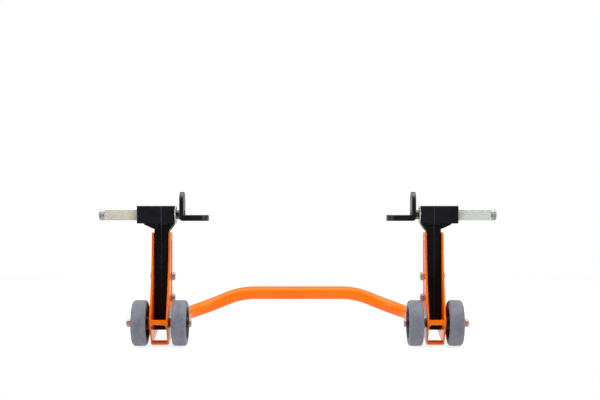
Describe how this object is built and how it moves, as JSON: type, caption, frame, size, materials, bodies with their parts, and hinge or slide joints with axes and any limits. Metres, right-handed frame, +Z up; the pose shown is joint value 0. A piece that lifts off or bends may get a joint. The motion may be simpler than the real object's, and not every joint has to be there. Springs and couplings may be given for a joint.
{
  "type": "motorcycle rear paddock stand",
  "caption": "Motorcycle rear paddock stand: wheeled uprights joined by a bent tube handle, with height-adjustable columns, sliding bars and swivelling L-shaped saddles.",
  "frame": {"origin": "on the floor, below the middle of the stand's outline", "axes": "+Z up, +X across the stand to the right as seen from the wheels, +Y from the wheels to the handle's cross bar"},
  "size_m": [0.7, 0.498, 0.2683],
  "materials": {
    "orange_paint": "gloss powder coat",
    "black_paint": "satin powder coat",
    "zinc": "bright zinc plate",
    "black_rubber": "matt moulded rubber",
    "grey_tyre": "matt non-marking rubber",
    "black_plastic": "moulded plastic"
  },
  "bodies": {
    "frame": {"handle": "orange_paint", "left_side_frame": "orange_paint", "left_handle_foot": "black_rubber", "left_axle_bolt": "zinc", "left_axle_nut": "zinc", "left_axle_washer": "zinc", "left_axle_spacer_inner": "orange_paint", "left_axle_spacer_outer": "orange_paint", "right_side_frame": "orange_paint", "right_handle_foot": "black_rubber", "right_axle_bolt": "zinc", "right_axle_nut": "zinc", "right_axle_washer": "zinc", "right_axle_spacer_inner": "orange_paint", "right_axle_spacer_outer": "orange_paint"},
    "left_riser": {"left_column": "black_paint", "left_head": "black_paint", "left_height_bolt_upper": "zinc", "left_height_bolt_lower": "zinc", "left_height_nut_upper": "zinc", "left_height_nut_lower": "zinc"},
    "left_slide": {"left_slide_bar": "zinc", "left_bar_end_cap": "zinc", "left_bar_stop_pin": "zinc", "left_stop_disc": "zinc", "left_swivel_nut": "zinc", "left_swivel_bolt": "zinc"},
    "left_saddle": {"left_saddle_core": "black_paint", "left_saddle_cover": "black_rubber"},
    "left_clamp": {"left_clamp_knob": "black_plastic", "left_clamp_screw": "zinc"},
    "left_inner_wheel": {"left_inner_wheel_tyre": "grey_tyre", "left_inner_wheel_rim": "black_plastic", "left_inner_wheel_bush": "zinc"},
    "left_outer_wheel": {"left_outer_wheel_tyre": "grey_tyre", "left_outer_wheel_rim": "black_plastic", "left_outer_wheel_bush": "zinc"},
    "right_riser": {"right_column": "black_paint", "right_head": "black_paint", "right_height_bolt_upper": "zinc", "right_height_bolt_lower": "zinc", "right_height_nut_upper": "zinc", "right_height_nut_lower": "zinc"},
    "right_slide": {"right_slide_bar": "zinc", "right_bar_end_cap": "zinc", "right_bar_stop_pin": "zinc", "right_stop_disc": "zinc", "right_swivel_nut": "zinc", "right_swivel_bolt": "zinc"},
    "right_saddle": {"right_saddle_core": "black_paint", "right_saddle_cover": "black_rubber"},
    "right_clamp": {"right_clamp_knob": "black_plastic", "right_clamp_screw": "zinc"},
    "right_inner_wheel": {"right_inner_wheel_tyre": "grey_tyre", "right_inner_wheel_rim": "black_plastic", "right_inner_wheel_bush": "zinc"},
    "right_outer_wheel": {"right_outer_wheel_tyre": "grey_tyre", "right_outer_wheel_rim": "black_plastic", "right_outer_wheel_bush": "zinc"}
  },
  "joints": [
    {"name": "left_height", "type": "slide", "parent": "frame", "child": "left_riser", "axis": [0, 0, 1], "range_m": [0, 0.06]},
    {"name": "left_width", "type": "slide", "parent": "left_riser", "child": "left_slide", "axis": [1, 0, 0], "range_m": [0, 0.055]},
    {"name": "left_saddle_swivel", "type": "hinge", "parent": "left_slide", "child": "left_saddle", "pos_m": [-0.2035, -0.184, 0.228], "axis": [1, 0, 0], "continuous": true},
    {"name": "left_clamp_turn", "type": "hinge", "parent": "left_riser", "child": "left_clamp", "pos_m": [-0.2485, -0.159, 0.228], "axis": [0, 1, 0], "range_deg": [0, 360]},
    {"name": "left_inner_wheel_spin", "type": "hinge", "parent": "frame", "child": "left_inner_wheel", "pos_m": [-0.2039, -0.209, 0.04], "axis": [1, 0, 0], "continuous": true},
    {"name": "left_outer_wheel_spin", "type": "hinge", "parent": "frame", "child": "left_outer_wheel", "pos_m": [-0.2731, -0.209, 0.04], "axis": [1, 0, 0], "continuous": true},
    {"name": "right_height", "type": "slide", "parent": "frame", "child": "right_riser", "axis": [0, 0, 1], "range_m": [0, 0.06]},
    {"name": "right_width", "type": "slide", "parent": "right_riser", "child": "right_slide", "axis": [-1, 0, 0], "range_m": [0, 0.055]},
    {"name": "right_saddle_swivel", "type": "hinge", "parent": "right_slide", "child": "right_saddle", "pos_m": [0.2035, -0.184, 0.228], "axis": [1, 0, 0], "continuous": true},
    {"name": "right_clamp_turn", "type": "hinge", "parent": "right_riser", "child": "right_clamp", "pos_m": [0.2485, -0.159, 0.228], "axis": [0, 1, 0], "range_deg": [0, 360]},
    {"name": "right_inner_wheel_spin", "type": "hinge", "parent": "frame", "child": "right_inner_wheel", "pos_m": [0.2039, -0.209, 0.04], "axis": [1, 0, 0], "continuous": true},
    {"name": "right_outer_wheel_spin", "type": "hinge", "parent": "frame", "child": "right_outer_wheel", "pos_m": [0.2731, -0.209, 0.04], "axis": [1, 0, 0], "continuous": true}
  ]
}
